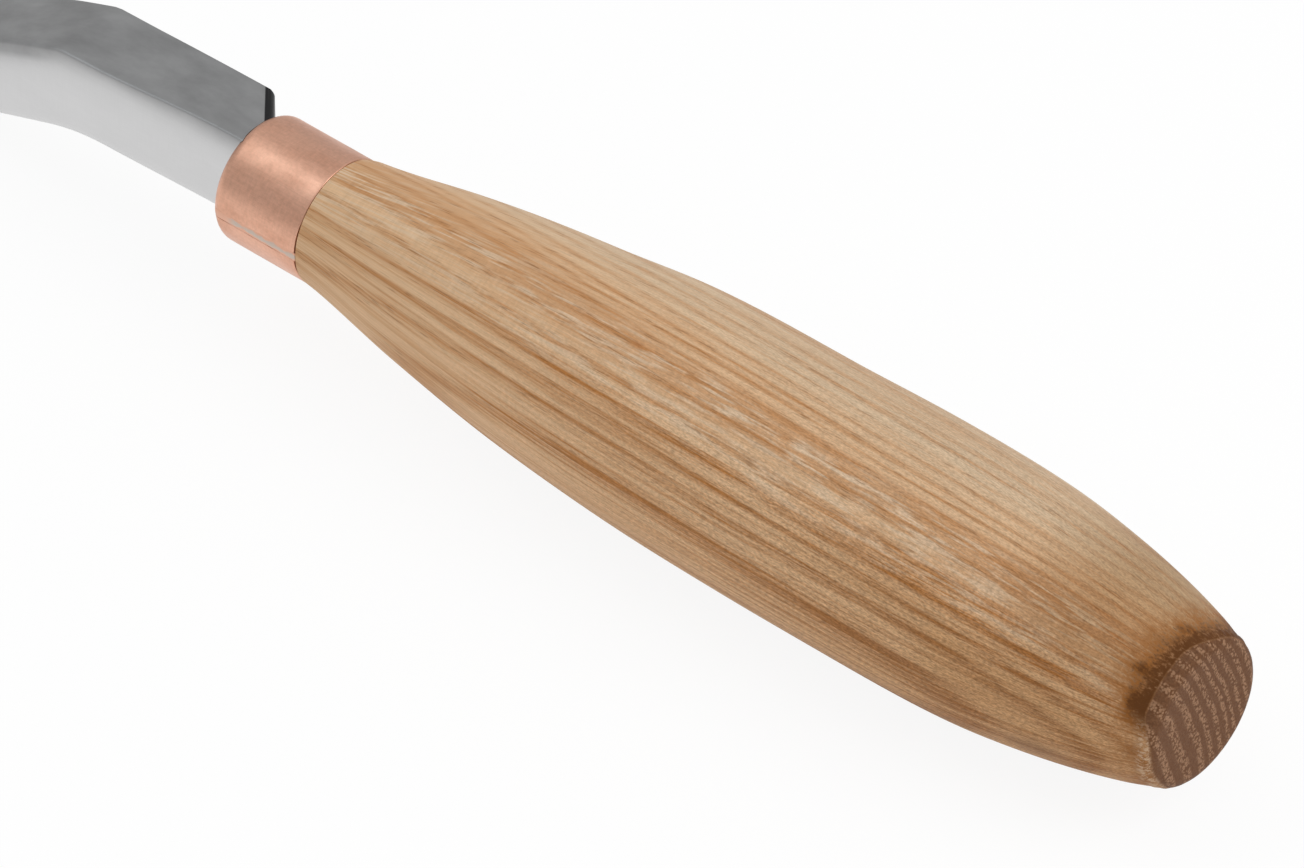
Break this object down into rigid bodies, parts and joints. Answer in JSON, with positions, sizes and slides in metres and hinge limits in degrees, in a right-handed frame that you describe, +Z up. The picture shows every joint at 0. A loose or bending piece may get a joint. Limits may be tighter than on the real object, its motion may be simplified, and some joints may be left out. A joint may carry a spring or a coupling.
{
  "type": "bent gouge",
  "caption": "Bent wood-carving gouge: a stout forged shank cranks down and sweeps up to a hollow cutting edge, its tang driven into a swelling ash handle with a rolled copper ferrule.",
  "frame": {"origin": "middle of the flat butt face of the handle", "axes": "+X along the handle to the cutting edge, +Z up from the bench the tool lies level on, +Y to the side with the ferrule's seam"},
  "size_m": [0.212, 0.0286, 0.0286],
  "materials": {
    "ash_wood": "hand-shaped ash, sanded and oiled thin",
    "copper": "satin copper",
    "solder": "dull grey solder",
    "forged_steel": "forged, ground and fine sanded"
  },
  "bodies": {
    "root": {"handle": "ash_wood", "ferrule": "copper", "seam_solder": "solder", "blade": "forged_steel"}
  },
  "joints": []
}
